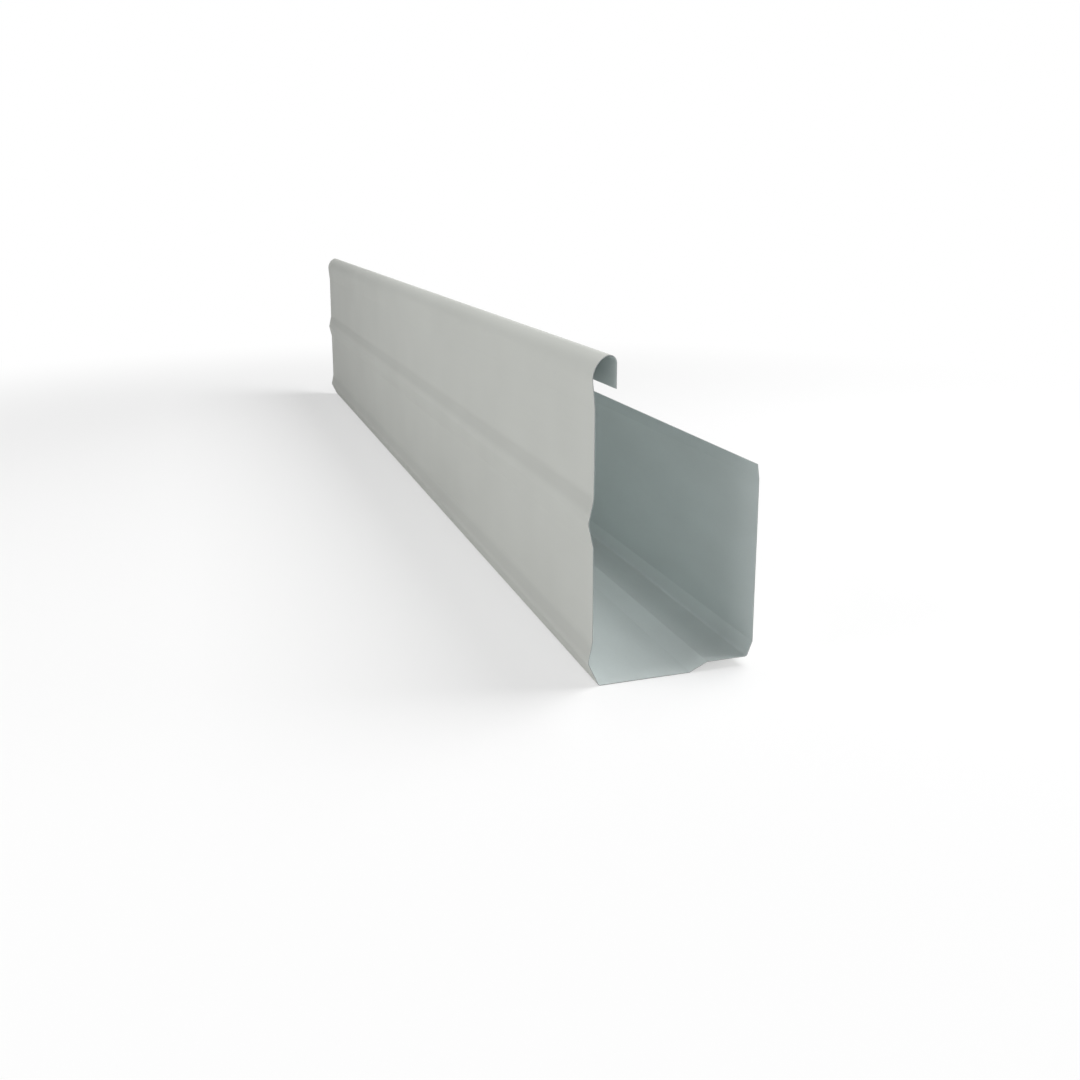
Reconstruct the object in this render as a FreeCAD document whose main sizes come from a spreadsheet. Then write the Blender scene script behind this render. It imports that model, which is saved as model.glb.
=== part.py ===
"""High-front eaves gutter: one length of a folded steel sheet.

The section is a single sheet of constant thickness.  Going round it from the back wall's free edge,
the sheet comes down the back wall, turns over a bevelled heel on to the raised rear part of the
sole, steps down to the front part, turns up at the toe, rolls out into the bottom crease, rises up
the tall face over a shallow rib at mid height, and ends in a hollow bead that swells out a little,
curls in over the channel and hangs down as a straight leg.

Row frame, millimetres: +X from the face to the back wall, +Y along the length, +Z up.  The origin is
in the middle of the footprint, level with the underside of the sole.  In the sketch x is measured
from the outside of the face and y from the underside of the sole.
"""
import FreeCAD
import Part
import math
import os
import Sketcher
from FreeCAD import Vector

NODE = "gutter_section"

SIZES = (
    ("section_length", 1000, "length of the section"),
    ("sheet_thickness", 0.5, "steel with its zinc and paint"),
    ("gutter_width", 100, "outside of the face to outside of the back wall"),
    ("face_height", 186, "underside of the sole to the top of the bead"),
    ("back_height", 120, "underside of the sole to the free edge of the back wall"),
    ("fold_radius", 1.5, "inside radius of the pressed folds"),
    ("rib_radius", 5, "inside radius of the rolled rib, crease and bead foot"),
    ("edge_strip", 8.5, "height of the strip along the top of the back wall that leans in"),
    ("edge_lean", 1.2, "how far the free edge leans in"),
    ("heel_rise", 9, "height of the bevel between the back wall and the sole"),
    ("heel_run", 3.5, "width of that bevel"),
    ("sole_step", 5, "how far the rear part of the sole is raised"),
    ("step_run", 11, "width of the slope between the two parts of the sole"),
    ("step_place", 60, "outside of the face to the foot of that slope"),
    ("toe_run", 4, "how far the toe lies behind the face"),
    ("crease_out", 2.6, "how far the bottom crease stands out of the face, before it is rounded"),
    ("crease_height", 14, "height of the crest of the crease"),
    ("crease_top", 26.5, "height at which the crease runs out into the face"),
    ("rib_out", 3, "how far the rib stands out of the face, before it is rounded"),
    ("rib_height", 94, "height of the crest of the rib"),
    ("rib_half", 13.5, "half the height of the rib"),
    ("bead_drop", 28.5, "top of the bead down to where the face turns out towards it"),
    ("bead_out", 2.1, "how far the bead stands out of the face, before it is rounded"),
    ("bead_width", 12.6, "outside of the face to outside of the bead's leg"),
    ("bead_lean", 55, "degrees from upright of the bead's short flat"),
    ("bead_flat", 1.2, "width of the short flat between the bead's two curves"),
    ("nose_radius", 4.5, "outside radius of the bead's crown"),
    ("leg_drop", 18.5, "top of the bead down to the lower edge of its leg"),
)

# The bead's two curves meet in a short flat.  The crown's curve reaches this far along both of its
# tangents, and the sweep that leads into it takes up all the width that the crown and flat leave.
LEAN = "(Sizes.bead_lean * 1 deg)"
BEAD_FOOT = "(Sizes.face_height - Sizes.bead_drop)"
BEAD_SPAN = "(Sizes.bead_width + Sizes.bead_out)"
CROWN_REACH = f"Sizes.nose_radius / tan({LEAN} / 2)"
CROWN_CORNER = f"(Sizes.face_height - Sizes.nose_radius + {CROWN_REACH})"
SWEEP_REACH = f"({BEAD_SPAN} / sin({LEAN}) - Sizes.bead_flat - {CROWN_REACH})"
SWEEP_CORNER = f"({CROWN_CORNER} - {BEAD_SPAN} / tan({LEAN}))"
SWEEP_TURN = f"({LEAN} + atan(Sizes.bead_out / ({SWEEP_CORNER} - {BEAD_FOOT})))"


def rounded(out, low, high):
    """How far a rolled corner reaches after rounding: its runs lie at angles low and high from upright."""
    bend = "(Sizes.rib_radius + Sizes.sheet_thickness)"
    return f"({out} - {bend} * (cos(({low} - {high}) / 2) / cos(({low} + {high}) / 2) - 1))"


# The rib's or the crease's rounded crest is the farthest the section reaches out of its face.
RIB_SLOPE = "atan(Sizes.rib_out / Sizes.rib_half)"
CREASE_LOW = "atan((Sizes.crease_out + Sizes.toe_run) / Sizes.crease_height)"
CREASE_HIGH = "atan(Sizes.crease_out / (Sizes.crease_top - Sizes.crease_height))"
RIB_REACH = rounded("Sizes.rib_out", RIB_SLOPE, RIB_SLOPE)
CREASE_REACH = rounded("Sizes.crease_out", CREASE_LOW, CREASE_HIGH)
REACH = f"max({RIB_REACH}; {CREASE_REACH})"

# The sheet's outer line from the back wall's free edge to the lower edge of the bead's leg: the
# corner's place in x and y, and the radius inside its bend.  The two ends have no bend.
FOLDS = (
    ("Sizes.gutter_width - Sizes.edge_lean", "Sizes.back_height", None),
    ("Sizes.gutter_width", "Sizes.back_height - Sizes.edge_strip", "Sizes.fold_radius"),
    ("Sizes.gutter_width", "Sizes.sole_step + Sizes.heel_rise", "Sizes.fold_radius"),
    ("Sizes.gutter_width - Sizes.heel_run", "Sizes.sole_step", "Sizes.fold_radius"),
    ("Sizes.step_place + Sizes.step_run", "Sizes.sole_step", "Sizes.fold_radius"),
    ("Sizes.step_place", "0", "Sizes.fold_radius"),
    ("Sizes.toe_run", "0", "Sizes.fold_radius"),
    ("-Sizes.crease_out", "Sizes.crease_height", "Sizes.rib_radius"),
    ("0", "Sizes.crease_top", "Sizes.rib_radius"),
    ("0", "Sizes.rib_height - Sizes.rib_half", "Sizes.rib_radius"),
    ("-Sizes.rib_out", "Sizes.rib_height", "Sizes.rib_radius"),
    ("0", "Sizes.rib_height + Sizes.rib_half", "Sizes.rib_radius"),
    ("0", BEAD_FOOT, "Sizes.rib_radius"),
    ("-Sizes.bead_out", SWEEP_CORNER, f"{SWEEP_REACH} / tan({SWEEP_TURN} / 2) - Sizes.sheet_thickness"),
    ("Sizes.bead_width", CROWN_CORNER, "Sizes.nose_radius - Sizes.sheet_thickness"),
    ("Sizes.bead_width", "Sizes.face_height - Sizes.leg_drop", None),
)

START, END, CENTRE = 1, 2, 3
ORIGIN, ACROSS, UP = -1, -1, -2


def make_sheet(doc):
    """The spreadsheet of driving sizes, one row each: alias, value and what it is."""
    sheet = doc.addObject("Spreadsheet::Sheet", "Sizes")
    for row, (alias, value, meaning) in enumerate(SIZES, start=1):
        sheet.set(f"A{row}", meaning)
        sheet.set(f"B{row}", str(value))
        sheet.setAlias(f"B{row}", alias)
    doc.recompute()
    return sheet


def value(owner, expression):
    """The number that an expression on the sheet gives now."""
    return float(owner.evalExpression(expression))


class Bend:
    """One fold of the sheet, seen on the face that lies `depth` inside the outer line."""

    def __init__(self, before, corner, after, inside_radius, thickness, depth):
        arrive = (corner - before).normalize()
        leave = (after - corner).normalize()
        self.turns_left = arrive.cross(leave).z > 0
        outer_radius = inside_radius if self.turns_left else inside_radius + thickness
        self.radius = outer_radius + depth if self.turns_left else outer_radius - depth
        half_turn = arrive.getAngle(leave) / 2
        inward = (leave - arrive).normalize()
        self.centre = corner + inward * (outer_radius / math.cos(half_turn))
        side = 1 if self.turns_left else -1
        self.first = self.centre + Vector(arrive.y, -arrive.x, 0) * (side * self.radius)
        self.last = self.centre + Vector(leave.y, -leave.x, 0) * (side * self.radius)

    def arc(self):
        """The bend as an arc, which a sketch always keeps counter-clockwise."""
        ends = (self.first, self.last) if self.turns_left else (self.last, self.first)
        low, high = (math.atan2(p.y - self.centre.y, p.x - self.centre.x) for p in ends)
        if high < low:
            high += 2 * math.pi
        circle = Part.Circle(self.centre, Vector(0, 0, 1), self.radius)
        return Part.ArcOfCircle(circle, low, high)

    def arrival(self):
        return START if self.turns_left else END

    def departure(self):
        return END if self.turns_left else START


def draw_face(sketch, corners, radii, thickness, depth):
    """One face of the sheet: straight runs joined by arcs.  Returns the runs, arcs and bends."""
    bends = [
        Bend(before, corner, after, radius, thickness, depth)
        for before, corner, after, radius in zip(corners, corners[1:], corners[2:], radii)
    ]
    first_side = (corners[1] - corners[0]).normalize()
    last_side = (corners[-1] - corners[-2]).normalize()
    start = corners[0] + Vector(first_side.y, -first_side.x, 0) * depth
    finish = corners[-1] + Vector(last_side.y, -last_side.x, 0) * depth
    run_starts = [start] + [bend.last for bend in bends]
    run_ends = [bend.first for bend in bends] + [finish]
    runs = sketch.addGeometry([Part.LineSegment(a, b) for a, b in zip(run_starts, run_ends)])
    arcs = sketch.addGeometry([bend.arc() for bend in bends])
    return runs, arcs, bends


def tangent_joints(runs, arcs, bends):
    """Each arc leaves one run and enters the next without a corner."""
    for bend, arc, run_in, run_out in zip(bends, arcs, runs, runs[1:]):
        yield Sketcher.Constraint("Tangent", run_in, END, arc, bend.arrival()), None
        yield Sketcher.Constraint("Tangent", arc, bend.departure(), run_out, START), None


def point_place(sketch, geometry, position, across, up):
    """A point's distances from the sketch's origin, or the axis it lies on where one is 0."""
    for kind, axis, term in (("DistanceX", UP, across), ("DistanceY", ACROSS, up)):
        if term == "0":
            yield Sketcher.Constraint("PointOnObject", geometry, position, axis), None
        else:
            number = value(sketch, term)
            yield Sketcher.Constraint(kind, ORIGIN, START, geometry, position, number), term


def corner_places(sketch, runs, corners):
    """Each corner of the outer line is where its two runs would meet if the fold were sharp."""
    points = sketch.addGeometry([Part.Point(corner) for corner in corners[1:-1]], True)
    for point, run_in, run_out, fold in zip(points, runs, runs[1:], FOLDS[1:-1]):
        yield Sketcher.Constraint("PointOnObject", point, START, run_in), None
        yield Sketcher.Constraint("PointOnObject", point, START, run_out), None
        yield from point_place(sketch, point, START, *fold[:2])
    yield from point_place(sketch, runs[0], START, *FOLDS[0][:2])
    yield from point_place(sketch, runs[-1], END, *FOLDS[-1][:2])


def bend_radii(sketch, outer_arcs, inner_arcs, bends):
    """Both faces of a bend turn about one centre, a sheet's thickness apart."""
    for outside, inside, bend, fold in zip(outer_arcs, inner_arcs, bends, FOLDS[1:-1]):
        tight, wide = (outside, inside) if bend.turns_left else (inside, outside)
        for arc, term in ((tight, fold[2]), (wide, f"{fold[2]} + Sizes.sheet_thickness")):
            yield Sketcher.Constraint("Radius", arc, value(sketch, term)), term
        yield Sketcher.Constraint("Coincident", outside, CENTRE, inside, CENTRE), None


def cut_edges(sketch, outer, inner):
    """The sheet's two edges join its faces squarely."""
    for position, outside, inside in ((START, outer[0], inner[0]), (END, outer[-1], inner[-1])):
        a, b = sketch.getPoint(outside, position), sketch.getPoint(inside, position)
        edge = sketch.addGeometry(Part.LineSegment(a, b))
        yield Sketcher.Constraint("Coincident", edge, START, outside, position), None
        yield Sketcher.Constraint("Coincident", edge, END, inside, position), None
        yield Sketcher.Constraint("Perpendicular", edge, outside), None
        yield Sketcher.Constraint("Parallel", outside, inside), None


def draw_section(sketch):
    """The closed section: the outer face, the inner face a sheet's thickness in, and two edges."""
    corners = [Vector(value(sketch, x), value(sketch, y), 0) for x, y, _ in FOLDS]
    radii = [value(sketch, radius) for _, _, radius in FOLDS[1:-1]]
    thickness = value(sketch, "Sizes.sheet_thickness")
    outer, outer_arcs, bends = draw_face(sketch, corners, radii, thickness, 0)
    inner, inner_arcs, inner_bends = draw_face(sketch, corners, radii, thickness, thickness)
    bound = [
        *tangent_joints(outer, outer_arcs, bends),
        *tangent_joints(inner, inner_arcs, inner_bends),
        *corner_places(sketch, outer, corners),
        *bend_radii(sketch, outer_arcs, inner_arcs, bends),
        *cut_edges(sketch, outer, inner),
    ]
    sketch.addConstraint([constraint for constraint, _ in bound])
    for index, (_, term) in enumerate(bound):
        if term:
            sketch.setExpression(f"Constraints[{index}]", term)


def make_gutter(doc):
    """The body: its section on the upright plane across the gutter, padded both ways from it."""
    body = doc.addObject("PartDesign::Body", "GutterSection")
    body.Label = NODE
    plane = next(p for p in body.Origin.OriginFeatures if p.Role == "XZ_Plane")
    sketch = body.newObject("Sketcher::SketchObject", "Section")
    sketch.AttachmentSupport = [(plane, "")]
    sketch.MapMode = "FlatFace"
    draw_section(sketch)
    doc.recompute()
    pad = body.newObject("PartDesign::Pad", "RolledLength")
    pad.Profile = sketch
    pad.SideType = "Symmetric"
    pad.setExpression("Length", "Sizes.section_length")
    body.Tip = pad
    body.setExpression("Placement.Base.x", f"({REACH} - Sizes.gutter_width) / 2")
    doc.recompute()
    return body, sketch


def check(doc, body, sketch):
    """Stops the build if anything failed without raising."""
    for item in doc.Objects:
        if "Invalid" in item.State or "Error" in item.State:
            raise RuntimeError(f"{item.Name}: {item.State}")
    if not sketch.FullyConstrained:
        raise RuntimeError("the section isn't fully constrained")
    if body.Shape.isNull() or not body.Shape.isValid() or len(body.Shape.Solids) != 1:
        raise RuntimeError(f"{body.Label} isn't one valid solid")


def main():
    doc = FreeCAD.newDocument("Gutter")
    make_sheet(doc)
    body, sketch = make_gutter(doc)
    check(doc, body, sketch)
    os.makedirs("parts", exist_ok=True)
    body.Shape.exportStep(f"parts/{body.Label}.step")
    box = body.Shape.optimalBoundingBox(False, False)
    print(f"{body.Label}: {body.Shape.Volume:.0f} cubic mm")
    print(f"x {box.XMin:.3f} {box.XMax:.3f}, y {box.YMin:.3f} {box.YMax:.3f},"
          f" z {box.ZMin:.3f} {box.ZMax:.3f}")


main()
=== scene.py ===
"""One length of high-front eaves gutter, standing on a white studio floor.

The sheet is worked out here as a section line with its outward normals, carried along the length.
All lengths are in metres.  In the section, x is measured from the outside of the face and z from the
underside of the sole, and the CAD part's box says where that is.
"""
import math

import bpy
import numpy as np
from bpy.props import FloatProperty, FloatVectorProperty, IntProperty, PointerProperty
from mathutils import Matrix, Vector


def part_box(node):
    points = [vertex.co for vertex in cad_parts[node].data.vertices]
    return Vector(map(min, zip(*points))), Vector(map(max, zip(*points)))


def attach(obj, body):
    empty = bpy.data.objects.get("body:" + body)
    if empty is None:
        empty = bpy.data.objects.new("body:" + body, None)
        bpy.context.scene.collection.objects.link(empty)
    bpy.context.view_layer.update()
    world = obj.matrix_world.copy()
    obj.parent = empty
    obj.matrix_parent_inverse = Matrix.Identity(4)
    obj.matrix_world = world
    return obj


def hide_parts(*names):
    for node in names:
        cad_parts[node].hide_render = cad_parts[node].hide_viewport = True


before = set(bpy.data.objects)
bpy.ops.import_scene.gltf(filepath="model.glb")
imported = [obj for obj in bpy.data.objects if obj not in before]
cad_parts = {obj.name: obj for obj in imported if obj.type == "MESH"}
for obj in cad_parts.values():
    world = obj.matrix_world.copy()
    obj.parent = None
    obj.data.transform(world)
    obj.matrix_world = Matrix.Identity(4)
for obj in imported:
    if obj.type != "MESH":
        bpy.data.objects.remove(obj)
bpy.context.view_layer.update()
NODE = "gutter_section"
LOW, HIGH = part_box(NODE)

# The unevenness that the rolls leave: its two wavelengths along the sheet, and how fast each shifts
# round the section.  A flat this wide or wider has all of it.
WAVE_LENGTH, WAVE_SHIFT = 0.31, 9
RIPPLE_LENGTH, RIPPLE_SHIFT = 0.17, 23
RIPPLE_SHARE = 0.6
FULL_WIDTH = 0.06
# The cut ends spring open over about this length, up to this share of the face's height.
SPRING_REACH = 0.03
SPRING_TOP = 0.85
# Painted shade: a darker line over the upper flank of the rib and of the crease, standing in for
# shading that the lights don't give there; how dark it is, and its core and edge from its middle.
PAINTED_LINE_SHADE = 0.92
PAINTED_LINE_CORE, PAINTED_LINE_EDGE = 0.002, 0.0075
# How far up from the rib's crest its painted shade lies, as a share of half the rib's height.
RIB_SHOULDER = 0.75
# The waviness reaches a little below the sole, so the floor lies this far under it.
FLOOR_DROP = 0.0002
# Plain white takes over the floor between these distances from its middle.
WHITE_STARTS, WHITE_COMPLETE = 0.45, 1.1
# Edges that turn more sharply than this are drawn sharp.
SHARP_TURN = math.radians(35)

bl_info = {
    "name": "Eaves gutter section",
    "version": (1, 0, 0),
    "blender": (4, 5, 0),
    "location": "View3D > Sidebar > Gutter",
    "description": "A folded length of painted steel gutter on a studio floor",
    "category": "Add Mesh",
}


def linear(code):
    """An sRGB hex colour such as 'bec0bc' as linear red, green, blue and an alpha of 1.

    Each channel c becomes c / 12.92 up to 0.04045, and ((c + 0.055) / 1.055) ^ 2.4 above it.
    """
    channels = np.array([int(code[i:i + 2], 16) for i in (0, 2, 4)]) / 255
    steep = ((channels + 0.055) / 1.055) ** 2.4
    return (*np.where(channels <= 0.04045, channels / 12.92, steep).tolist(), 1.0)


def length_property(name, default, description):
    return FloatProperty(name=name, default=default, description=description, unit="LENGTH",
                         precision=5)


def colour_property(name, code, description):
    return FloatVectorProperty(name=name, default=linear(code), description=description,
                               subtype="COLOR", size=4, min=0, max=1)


class GutterSizes(bpy.types.PropertyGroup):
    """The sheet's section, in the order in which the sheet is folded."""

    length: length_property("Length", HIGH[1] - LOW[1], "Length of the section")
    thickness: length_property("Sheet", 0.0005, "Steel with its zinc and paint")
    width: length_property("Width", 0.100, "Outside of the face to outside of the back wall")
    face_height: length_property("Face height", HIGH[2] - LOW[2], "Sole to the top of the bead")
    back_height: length_property("Back height", 0.120, "Sole to the back wall's free edge")
    fold_radius: length_property("Fold radius", 0.0015, "Inside radius of the pressed folds")
    rib_radius: length_property("Rib radius", 0.005, "Inside radius of the rolled rib and crease")
    edge_strip: length_property("Edge strip", 0.0085, "Height of the back wall's leaning strip")
    edge_lean: length_property("Edge lean", 0.0012, "How far the free edge leans in")
    heel_rise: length_property("Heel rise", 0.009, "Height of the bevel at the heel")
    heel_run: length_property("Heel run", 0.0035, "Width of the bevel at the heel")
    sole_step: length_property("Sole step", 0.005, "How far the rear of the sole is raised")
    step_run: length_property("Step run", 0.011, "Width of the slope in the sole")
    step_place: length_property("Step place", 0.060, "Face to the foot of that slope")
    toe_run: length_property("Toe run", 0.004, "How far the toe lies behind the face")
    crease_out: length_property("Crease out", 0.0026, "How far the crease stands out, unrounded")
    crease_height: length_property("Crease height", 0.014, "Height of the crease's crest")
    crease_top: length_property("Crease top", 0.0265, "Height at which the crease ends")
    rib_out: length_property("Rib out", 0.003, "How far the rib stands out, unrounded")
    rib_height: length_property("Rib height", 0.094, "Height of the rib's crest")
    rib_half: length_property("Rib half", 0.0135, "Half the height of the rib")
    bead_drop: length_property("Bead drop", 0.0285, "Bead's top down to where the face turns out")
    bead_out: length_property("Bead out", 0.0021, "How far the bead stands out, unrounded")
    bead_width: length_property("Bead width", 0.0126, "Face to the outside of the bead's leg")
    bead_lean: FloatProperty(name="Bead lean", default=math.radians(55), subtype="ANGLE",
                             description="The bead's short flat, from upright")
    bead_flat: length_property("Bead flat", 0.0012, "Width of that short flat")
    nose_radius: length_property("Nose radius", 0.0045, "Outside radius of the bead's crown")
    leg_drop: length_property("Leg drop", 0.0185, "Bead's top down to the end of its leg")
    edge_break: length_property("Edge break", 0.00008, "Rounding of the sheared edges")
    wave_depth: length_property("Wave depth", 0.00012, "Unevenness of the flats from rolling")
    end_spring: length_property("End spring", 0.0004, "How far the cut ends spring open")
    arc_steps: IntProperty(name="Bend steps", default=9, min=2, description="Points round a bend")
    run_steps: IntProperty(name="Flat steps", default=10, min=2, description="Points across a flat")
    stations: IntProperty(name="Stations", default=111, min=4, description="Points along the length")


class GutterColours(bpy.types.PropertyGroup):
    """The coats on the two sides of the sheet, and its sheared edge."""

    topcoat: colour_property("Topcoat", "c2c4bf", "Polyester paint on the outside")
    backing: colour_property("Backing coat", "bcc4c3", "Thin epoxy coat on the inside")
    zinc: colour_property("Sheared edge", "8e9192", "Zinc smeared over the cut steel")


class StudioSettings(bpy.types.PropertyGroup):
    """Light levels, and the camera."""

    sky: FloatProperty(name="Surround", default=0.22, min=0, description="Level of the even light")
    key_power: FloatProperty(name="Key", default=25, min=0, unit="POWER",
                             description="Large soft light high on the right")
    front_power: FloatProperty(name="Front", default=14, min=0, unit="POWER",
                               description="Soft light that looks into the near end")
    right_power: FloatProperty(name="Right", default=12, min=0, unit="POWER",
                               description="Low soft light from the back wall's side")
    left_power: FloatProperty(name="Left", default=5.3, min=0, unit="POWER",
                              description="Soft light on the face")
    floor_shade: FloatProperty(name="Floor shade", default=0.5, min=0, max=1, subtype="FACTOR",
                               description="How much of the floor's real shade the camera sees")
    floor_colour: colour_property("Floor", "f0f0f0", "Matt white studio floor")
    floor_size: length_property("Floor size", 30.0, "Side of the floor")
    lens: FloatProperty(name="Lens", default=37.15, min=1, description="Focal length in mm")
    turn: FloatProperty(name="Turn", default=math.radians(18.376), subtype="ANGLE",
                        description="Camera's heading, from +Y towards +X")
    dip: FloatProperty(name="Dip", default=math.radians(11.502), subtype="ANGLE",
                       description="Camera's tilt below level")
    eye: FloatVectorProperty(name="Eye", default=(-0.2098, -0.5402, 0.2668), subtype="TRANSLATION",
                             description="Camera from the near end of the face's foot")
    rise: FloatProperty(name="Rise", default=-0.1069, description="Lens shift, upwards")


def add_node(tree, kind, settings=None, inputs=None):
    """Adds a node, sets its own settings, and gives each named input a value or a link."""
    made = tree.nodes.new(kind)
    for name, setting in (settings or {}).items():
        setattr(made, name, setting)
    for name, given in (inputs or {}).items():
        if isinstance(given, bpy.types.NodeSocket):
            tree.links.new(given, made.inputs[name])
        else:
            made.inputs[name].default_value = given
    return made


def new_material(name):
    """An empty node tree and the output that its shader goes to."""
    material = bpy.data.materials.new(name)
    material.use_nodes = True
    material.node_tree.nodes.clear()
    return material, material.node_tree, add_node(material.node_tree, "ShaderNodeOutputMaterial")


def calculate(tree, operation, first, second):
    """One sum, product or other step of arithmetic on two values."""
    return add_node(tree, "ShaderNodeMath", {"operation": operation}, {0: first, 1: second}).outputs[0]


def noise(tree, vector, scale, detail, roughness):
    """A cloudy pattern from about 0 to 1 with `scale` cells to the unit of its vector."""
    return add_node(tree, "ShaderNodeTexNoise", inputs={
        "Vector": vector, "Scale": scale, "Detail": detail, "Roughness": roughness}).outputs[0]


def spread(tree, value, given, wanted, interpolation="LINEAR"):
    """Maps a value from one range to another, and holds it there beyond the ends."""
    return add_node(tree, "ShaderNodeMapRange", {"interpolation_type": interpolation}, {
        "Value": value, "From Min": given[0], "From Max": given[1],
        "To Min": wanted[0], "To Max": wanted[1]}).outputs[0]


def tinted(tree, colour, shade):
    """A colour made darker or lighter by a factor."""
    return add_node(tree, "ShaderNodeVectorMath", {"operation": "SCALE"}, {
        0: colour[:3], "Scale": shade}).outputs[0]


def relief(tree, height, strength, distance, **beneath):
    """A bumpy surface; `beneath` may give the Normal of a coarser one that it lies on."""
    return add_node(tree, "ShaderNodeBump", inputs={
        "Height": height, "Strength": strength, "Distance": distance, **beneath}).outputs[0]


def topcoat_material(colour, shaded_shoulders):
    """Coil-coated polyester paint, baked on flat strip and then roll-formed.

    It gives an even matt grey with a very fine orange peel and faint marks drawn out along the
    length by the forming rolls.  A painted shade darkens a narrow line over the upper flank of the rib
    and of the crease, standing in for shading that the lights don't give there.
    """
    material, tree, output = new_material("coil_coated_polyester_paint")
    place = add_node(tree, "ShaderNodeTexCoord").outputs
    # Roll marks lie about 5 mm apart and run on for about 300 mm.
    drawn = add_node(tree, "ShaderNodeMapping", inputs={
        "Vector": place["UV"], "Scale": (200, 3.3, 1)}).outputs[0]
    marks = noise(tree, drawn, 1.0, 3.0, 0.6)
    # Real orange peel is about 0.5 mm across; it is drawn at 1.2 mm so that it shows.
    peel = noise(tree, place["Object"], 830.0, 1.0, 0.4)
    # The coat's depth of colour drifts over about 80 mm.
    drift = noise(tree, place["Object"], 12.0, 2.0, 0.5)
    shade = calculate(tree, "MULTIPLY", spread(tree, drift, (0.3, 0.7), (0.975, 1.02)),
                      spread(tree, marks, (0.3, 0.7), (0.99, 1.01)))
    # The painted shade lines lie on the face alone, where the object's x is below zero.
    across = add_node(tree, "ShaderNodeSeparateXYZ", inputs={0: place["Object"]}).outputs
    for shoulder in shaded_shoulders:
        height_off = calculate(tree, "SUBTRACT", across["Z"], shoulder)
        distance = add_node(tree, "ShaderNodeMath", {"operation": "ABSOLUTE"}, {0: height_off}).outputs[0]
        away = calculate(tree, "MAXIMUM", distance, across["X"])
        line = spread(tree, away, (PAINTED_LINE_CORE, PAINTED_LINE_EDGE), (PAINTED_LINE_SHADE, 1.0), "SMOOTHSTEP")
        shade = calculate(tree, "MULTIPLY", shade, line)
    rolled = relief(tree, marks, 0.5, 0.00003)
    paint = add_node(tree, "ShaderNodeBsdfPrincipled", inputs={
        "Base Color": tinted(tree, colour, shade),
        "Roughness": spread(tree, marks, (0.25, 0.75), (0.58, 0.68)),
        "Normal": relief(tree, peel, 0.6, 0.00001, Normal=rolled),
        "IOR": 1.48, "Specular IOR Level": 0.3})
    tree.links.new(paint.outputs[0], output.inputs["Surface"])
    return material


def backing_material(colour):
    """Thin epoxy backing coat, rolled on the underside of the strip and baked.

    It is duller and more uneven than the topcoat, with a slight grain from the roller.
    """
    material, tree, output = new_material("epoxy_backing_coat")
    place = add_node(tree, "ShaderNodeTexCoord").outputs
    # The coat runs thin and thick over about 25 mm, drawn out along the strip.
    drawn = add_node(tree, "ShaderNodeMapping", inputs={
        "Vector": place["UV"], "Scale": (40, 12, 1)}).outputs[0]
    cloud = noise(tree, drawn, 1.0, 4.0, 0.55)
    # The roller's grain is about 1 mm.
    grain = noise(tree, place["Object"], 1000.0, 2.0, 0.5)
    shade = calculate(tree, "MULTIPLY", spread(tree, cloud, (0.3, 0.7), (0.955, 1.03)),
                      spread(tree, grain, (0.3, 0.7), (0.985, 1.015)))
    coat = add_node(tree, "ShaderNodeBsdfPrincipled", inputs={
        "Base Color": tinted(tree, colour, shade),
        "Roughness": spread(tree, cloud, (0.3, 0.7), (0.52, 0.64)),
        "Normal": relief(tree, grain, 0.6, 0.00002),
        "IOR": 1.55})
    tree.links.new(coat.outputs[0], output.inputs["Surface"])
    return material


def sheared_material(colour):
    """Sheared galvanised steel: zinc dragged over the cut, with a fine uneven grain."""
    material, tree, output = new_material("sheared_galvanised_steel")
    place = add_node(tree, "ShaderNodeTexCoord").outputs
    # The grain is about 0.4 mm.
    grain = noise(tree, place["Object"], 2500.0, 2.0, 0.6)
    metal = add_node(tree, "ShaderNodeBsdfPrincipled", inputs={
        "Base Color": tinted(tree, colour, spread(tree, grain, (0.3, 0.7), (0.8, 1.15))),
        "Metallic": 1.0, "Roughness": 0.42,
        "Normal": relief(tree, grain, 0.6, 0.00005)})
    tree.links.new(metal.outputs[0], output.inputs["Surface"])
    return material


def fold_corners(sizes):
    """The sheet's outer line as sharp corners, and the radius inside the bend at each but the ends.

    The bead's sweep and crown meet in a short flat.  A curve of radius r that turns through an angle
    a reaches r tan(a / 2) along each of its tangents, so the sweep takes what the crown leaves.
    """
    s = sizes
    lean, span = s.bead_lean, s.bead_width + s.bead_out
    crown_reach = s.nose_radius / math.tan(lean / 2)
    crown = s.face_height - s.nose_radius + crown_reach
    foot = s.face_height - s.bead_drop
    sweep = crown - span / math.tan(lean)
    sweep_turn = lean + math.atan(s.bead_out / (sweep - foot))
    sweep_radius = (span / math.sin(lean) - s.bead_flat - crown_reach) / math.tan(sweep_turn / 2)
    fold, rib, sheet = s.fold_radius, s.rib_radius, s.thickness
    return np.array((
        (s.width - s.edge_lean, s.back_height, 0),
        (s.width, s.back_height - s.edge_strip, fold),
        (s.width, s.sole_step + s.heel_rise, fold),
        (s.width - s.heel_run, s.sole_step, fold),
        (s.step_place + s.step_run, s.sole_step, fold),
        (s.step_place, 0, fold),
        (s.toe_run, 0, fold),
        (-s.crease_out, s.crease_height, rib),
        (0, s.crease_top, rib),
        (0, s.rib_height - s.rib_half, rib),
        (-s.rib_out, s.rib_height, rib),
        (0, s.rib_height + s.rib_half, rib),
        (0, foot, rib),
        (-s.bead_out, sweep, sweep_radius - sheet),
        (s.bead_width, crown, s.nose_radius - sheet),
        (s.bead_width, s.face_height - s.leg_drop, 0),
    ))


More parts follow.
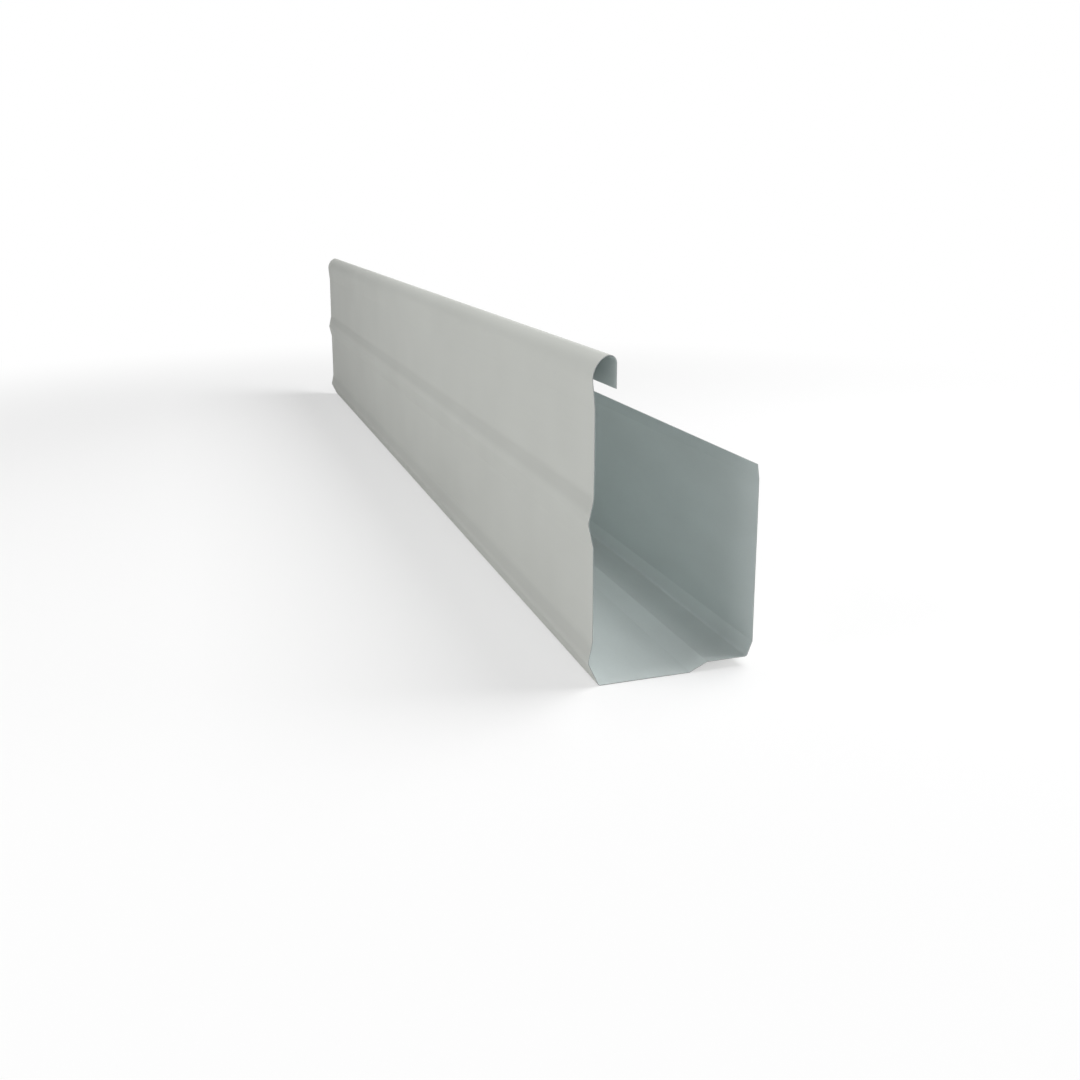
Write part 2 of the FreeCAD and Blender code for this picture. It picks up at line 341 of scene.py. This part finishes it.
def section_line(sizes):
    """Points round the outer line, their outward normals, and how flat the sheet is at each.

    At a corner the sheet turns from direction a to direction b through the angle between them.  Its
    centre lies off the corner by r / cos(half the turn), along b - a, where r is the outer line's own
    radius: the inside radius on a left turn, and a sheet more on a right turn.  The bend's points
    stand r from the centre, in directions that go evenly from a's normal to b's.  A flat's points
    divide it evenly, and flatness rises over it as sin^2 of pi times the share along it, times the
    flat's width over 60 mm or, on a wider flat, times 1.
    """
    corners = fold_corners(sizes)
    place, inside = corners[:, :2], corners[1:-1, 2]
    run = np.diff(place, axis=0)
    run /= np.linalg.norm(run, axis=1, keepdims=True)
    before, after = run[:-1], run[1:]
    side = np.sign(before[:, 0] * after[:, 1] - before[:, 1] * after[:, 0])
    radius = np.where(side > 0, inside, inside + sizes.thickness)
    half_turn = np.arccos(np.clip((before * after).sum(axis=1), -1, 1)) / 2
    inward = after - before
    inward /= np.linalg.norm(inward, axis=1, keepdims=True)
    centre = place[1:-1] + inward * (radius / np.cos(half_turn))[:, None]
    out = np.stack((-run[:, 1], run[:, 0]), axis=1)
    turn = side * 2 * half_turn
    steps = turn[:, None] * np.linspace(0, 1, sizes.arc_steps)
    heading = np.arctan2(out[:-1, 1], out[:-1, 0])[:, None] + steps
    bend_out = np.stack((np.cos(heading), np.sin(heading)), axis=2)
    bend = centre[:, None] - bend_out * (side * radius)[:, None, None]
    starts = np.concatenate((place[:1], bend[:, -1]))
    ends = np.concatenate((bend[:, 0], place[-1:]))
    share = np.linspace(0, 1, sizes.run_steps + 2)[1:-1]
    flat = starts[:, None] + (ends - starts)[:, None] * share[:, None]
    flat_out = np.broadcast_to(out[:, None], flat.shape)
    wide = np.clip(np.linalg.norm(ends - starts, axis=1) / FULL_WIDTH, 0, 1)
    bulge = wide[:, None] * np.sin(np.pi * share) ** 2
    still = np.zeros(bend.shape[:2])
    blocks = [(starts[:1], out[:1], np.zeros(1))]
    for index in range(len(run)):
        blocks.append((flat[index], flat_out[index], bulge[index]))
        if index < len(bend):
            blocks.append((bend[index], bend_out[index], still[index]))
    blocks.append((ends[-1:], out[-1:], np.zeros(1)))
    line, normal, flatness = (np.concatenate(part) for part in zip(*blocks))
    return line, normal, flatness


def end_places(half, count):
    """Places along the length, closer together near the ends.

    With u even from -1 to 1, the place is half the length times (1.4 u - 0.4 u^3).
    """
    even = np.linspace(-1, 1, count)
    return half * (1.4 * even - 0.4 * even ** 3)


def sheet_skin(sizes):
    """Vertices, faces, their materials, and the flat-sheet place of each vertex.

    Four layers share one grid of section by length: the outer face drawn in from its rim by the edge
    break, the rim that far below the face, the rim that far above the inner face, and the inner face
    drawn in.  Each point stands off the section line along its normal by

        flatness * depth * (sin(2 pi y / 0.31 + 9 d) + 0.6 sin(2 pi y / 0.17 - 23 d)) / 1.6
        + spring * t * sin^2(pi t / 0.85) * exp(-distance from the end / 0.03) - layer's depth

    where d is the distance round the section and t is the height over the face's height.  The bead
    and all that is above t = 0.85 don't spring.  The layers' rims are joined by three bands.
    """
    s = sizes
    line, normal, flatness = section_line(s)
    around = np.concatenate(((0.0,), np.cumsum(np.linalg.norm(np.diff(line, axis=0), axis=1))))
    along = end_places(s.length / 2, s.stations)
    rows, columns = len(line), len(along)
    wave = np.sin(2 * np.pi * along / WAVE_LENGTH + WAVE_SHIFT * around[:, None])
    ripple = np.sin(2 * np.pi * along / RIPPLE_LENGTH - RIPPLE_SHIFT * around[:, None])
    uneven = flatness[:, None] * s.wave_depth * (wave + RIPPLE_SHARE * ripple) / (1 + RIPPLE_SHARE)
    near = np.exp(-(s.length / 2 - np.abs(along)) / SPRING_REACH)
    tall = np.clip(line[:, 1] / s.face_height, 0, 1)
    free = tall * (line[:, 1] < s.face_height - s.bead_drop)
    spring = free * np.sin(np.pi * np.clip(tall / SPRING_TOP, 0, 1)) ** 2
    lift = uneven + s.end_spring * spring[:, None] * near
    tangent = np.stack((normal[:, 1], -normal[:, 0]), axis=1)

    def layer(depth, inset):
        drawn = line.copy()
        drawn[0] += tangent[0] * inset
        drawn[-1] -= tangent[-1] * inset
        points = drawn[:, None] + normal[:, None] * (lift - depth)[..., None]
        y = along.copy()
        y[0] += inset
        y[-1] -= inset
        return np.stack((points[..., 0], np.broadcast_to(y, points.shape[:2]), points[..., 1]), axis=2)

    rim = s.edge_break
    layers = [layer(0, rim), layer(rim, 0), layer(s.thickness - rim, 0), layer(s.thickness, rim)]
    count = rows * columns
    grid = np.arange(count).reshape(rows, columns)
    border = np.concatenate((grid[:-1, 0], grid[-1, :-1], grid[:0:-1, -1], grid[0, :0:-1]))
    ahead = np.roll(border, -1)
    a, b, c, d = grid[:-1, :-1], grid[:-1, 1:], grid[1:, 1:], grid[1:, :-1]
    outer = np.stack((a, d, c, b), axis=-1).reshape(-1, 4)
    bands = [
        np.stack((border + k * count, border + (k + 1) * count, ahead + (k + 1) * count,
                  ahead + k * count), axis=1)
        for k in range(3)
    ]
    inner = outer[:, ::-1] + 3 * count
    faces = np.concatenate((outer, *bands, inner))
    kinds = np.repeat((0, 0, 2, 1, 1), (len(outer), *(len(band) for band in bands), len(inner)))
    flat_place = np.stack(np.broadcast_arrays(around[:, None], along), axis=2).reshape(-1, 2)
    points = np.concatenate([one.reshape(-1, 3) for one in layers])
    return points, faces, kinds, np.tile(flat_place, (4, 1))


def make_mesh(name, points, faces, kinds, flat_place, materials):
    """A smooth mesh of four-sided faces with its materials and a map in metres of flat sheet."""
    mesh = bpy.data.meshes.new(name)
    mesh.vertices.add(len(points))
    mesh.vertices.foreach_set("co", points.astype(np.float32).ravel())
    mesh.loops.add(faces.size)
    mesh.loops.foreach_set("vertex_index", faces.astype(np.int32).ravel())
    mesh.polygons.add(len(faces))
    mesh.polygons.foreach_set("loop_start", np.arange(0, faces.size, 4, dtype=np.int32))
    for material in materials:
        mesh.materials.append(material)
    mesh.polygons.foreach_set("material_index", kinds.astype(np.int32))
    unrolled = mesh.uv_layers.new(name="flat_sheet")
    unrolled.uv.foreach_set("vector", flat_place[faces.ravel()].astype(np.float32).ravel())
    mesh.update(calc_edges=True)
    mesh.validate()
    mesh.set_sharp_from_angle(angle=SHARP_TURN)
    return mesh


class GUTTER_OT_section(bpy.types.Operator):
    """Makes the folded sheet with its two coats and sheared edges"""

    bl_idname = "gutter.section"
    bl_label = "Gutter section"

    def execute(self, context):
        sizes, colours = context.scene.gutter_sizes, context.scene.gutter_colours
        points, faces, kinds, flat_place = sheet_skin(sizes)
        points += np.array((HIGH[0] - sizes.width, (LOW[1] + HIGH[1]) / 2, LOW[2]))
        # Heights of the painted shade lines over the upper flanks of the rib and the crease.
        shaded_shoulders = (
            LOW[2] + sizes.rib_height + RIB_SHOULDER * sizes.rib_half,
            LOW[2] + (sizes.crease_height + sizes.crease_top) / 2,
        )
        materials = (
            topcoat_material(colours.topcoat, shaded_shoulders),
            backing_material(colours.backing),
            sheared_material(colours.zinc),
        )
        mesh = make_mesh("painted_sheet", points, faces, kinds, flat_place, materials)
        piece = bpy.data.objects.new("painted_sheet", mesh)
        context.scene.collection.objects.link(piece)
        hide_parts(NODE)
        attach(piece, "root")
        return {"FINISHED"}


def seen_directly(tree):
    """1 where the camera, a reflection or a refraction looks, and 0 for light on other things."""
    rays = add_node(tree, "ShaderNodeLightPath").outputs
    either = calculate(tree, "MAXIMUM", rays["Is Camera Ray"], rays["Is Glossy Ray"])
    return calculate(tree, "MAXIMUM", either, rays["Is Transmission Ray"])


def floor_material(studio):
    """Matt white painted studio floor.

    Seen directly, its shade is mixed with plain white, which takes over between 0.45 m and 1.1 m
    from the middle of the floor.
    """
    material, tree, output = new_material("matt_white_floor")
    matt = add_node(tree, "ShaderNodeBsdfDiffuse", inputs={"Color": studio.floor_colour}).outputs[0]
    white = add_node(tree, "ShaderNodeEmission", inputs={
        "Color": (1, 1, 1, 1), "Strength": 1.0}).outputs[0]
    place = add_node(tree, "ShaderNodeTexCoord").outputs["Object"]
    away = add_node(tree, "ShaderNodeVectorMath", {"operation": "LENGTH"}, {0: place}).outputs["Value"]
    plain = spread(tree, away, (WHITE_STARTS, WHITE_COMPLETE), (1 - studio.floor_shade, 1.0),
                   "SMOOTHSTEP")
    share = calculate(tree, "MULTIPLY", seen_directly(tree), plain)
    mixed = add_node(tree, "ShaderNodeMixShader", inputs={0: share, 1: matt, 2: white}).outputs[0]
    tree.links.new(mixed, output.inputs["Surface"])
    return material


def set_surround(scene, level):
    """An even white surround: its level as light, and plain white where it is seen directly."""
    world = bpy.data.worlds.new("studio_surround")
    world.use_nodes = True
    tree = world.node_tree
    tree.nodes.clear()
    light = add_node(tree, "ShaderNodeBackground", inputs={"Strength": level, "Color": (1, 1, 1, 1)})
    white = add_node(tree, "ShaderNodeBackground", inputs={"Strength": 1.0, "Color": (1, 1, 1, 1)})
    mixed = add_node(tree, "ShaderNodeMixShader", inputs={
        0: seen_directly(tree), 1: light.outputs[0], 2: white.outputs[0]})
    output = add_node(tree, "ShaderNodeOutputWorld")
    tree.links.new(mixed.outputs[0], output.inputs["Surface"])
    scene.world = world


# Each light's name, which its power setting shares, its side, its place and what it faces.
LIGHTS = (
    ("key", 1.1, (0.8, -0.2, 1.55), (0, -0.1, 0.05)),
    ("front", 1.2, (-0.6, -2.4, 1.0), (0, -0.3, 0.08)),
    ("right", 1.2, (2.2, -0.6, 0.65), (0, -0.1, 0.08)),
    ("left", 0.8, (-1.15, -0.45, 0.55), (0, -0.35, 0.08)),
)


def add_light(scene, name, power, size, place, target):
    """A square soft light at a place, turned to face a target."""
    lamp = bpy.data.lights.new(name, "AREA")
    lamp.shape, lamp.size, lamp.energy = "SQUARE", size, power
    holder = bpy.data.objects.new(name, lamp)
    holder.location = place
    holder.rotation_mode = "QUATERNION"
    holder.rotation_quaternion = (Vector(target) - Vector(place)).to_track_quat("-Z", "Y")
    scene.collection.objects.link(holder)


class GUTTER_OT_studio(bpy.types.Operator):
    """Makes the floor, the lights and the camera"""

    bl_idname = "gutter.studio"
    bl_label = "Studio"

    def execute(self, context):
        scene, studio, sizes = context.scene, context.scene.gutter_studio, context.scene.gutter_sizes
        half = studio.floor_size / 2
        mesh = bpy.data.meshes.new("studio_floor")
        level = LOW[2] - FLOOR_DROP
        mesh.from_pydata([(-half, -half, level), (half, -half, level), (half, half, level),
                          (-half, half, level)], [], [(0, 1, 2, 3)])
        mesh.materials.append(floor_material(studio))
        floor = bpy.data.objects.new("studio_floor", mesh)
        scene.collection.objects.link(floor)
        set_surround(scene, studio.sky)
        for name, size, place, target in LIGHTS:
            add_light(scene, f"{name}_light", getattr(studio, f"{name}_power"), size, place, target)
        lens = bpy.data.cameras.new("studio_camera")
        lens.sensor_width, lens.lens, lens.shift_y = 36, studio.lens, studio.rise
        lens.clip_start, lens.clip_end = 0.01, 100
        camera = bpy.data.objects.new("studio_camera", lens)
        foot = Vector((HIGH[0] - sizes.width, LOW[1], LOW[2]))
        camera.location = foot + Vector(studio.eye)
        camera.rotation_euler = (math.pi / 2 - studio.dip, 0, -studio.turn)
        scene.collection.objects.link(camera)
        scene.camera = camera
        scene.view_settings.view_transform = "Standard"
        return {"FINISHED"}


class GUTTER_PT_panel(bpy.types.Panel):
    """Lists the pieces"""

    bl_idname = "GUTTER_PT_panel"
    bl_label = "Gutter"
    bl_space_type = "VIEW_3D"
    bl_region_type = "UI"
    bl_category = "Gutter"

    def draw(self, context):
        for operator in OPERATORS:
            self.layout.operator(operator.bl_idname)


OPERATORS = (GUTTER_OT_section, GUTTER_OT_studio)
SETTINGS = {
    "gutter_sizes": GutterSizes,
    "gutter_colours": GutterColours,
    "gutter_studio": StudioSettings,
}


def register():
    for one in (*SETTINGS.values(), *OPERATORS, GUTTER_PT_panel):
        bpy.utils.register_class(one)
    for name, group in SETTINGS.items():
        setattr(bpy.types.Scene, name, PointerProperty(type=group))


def unregister():
    for name in SETTINGS:
        delattr(bpy.types.Scene, name)
    for one in (GUTTER_PT_panel, *reversed(OPERATORS), *reversed(SETTINGS.values())):
        bpy.utils.unregister_class(one)


def main():
    register()
    bpy.ops.gutter.section()
    bpy.ops.gutter.studio()


if __name__ == "__main__":
    main()
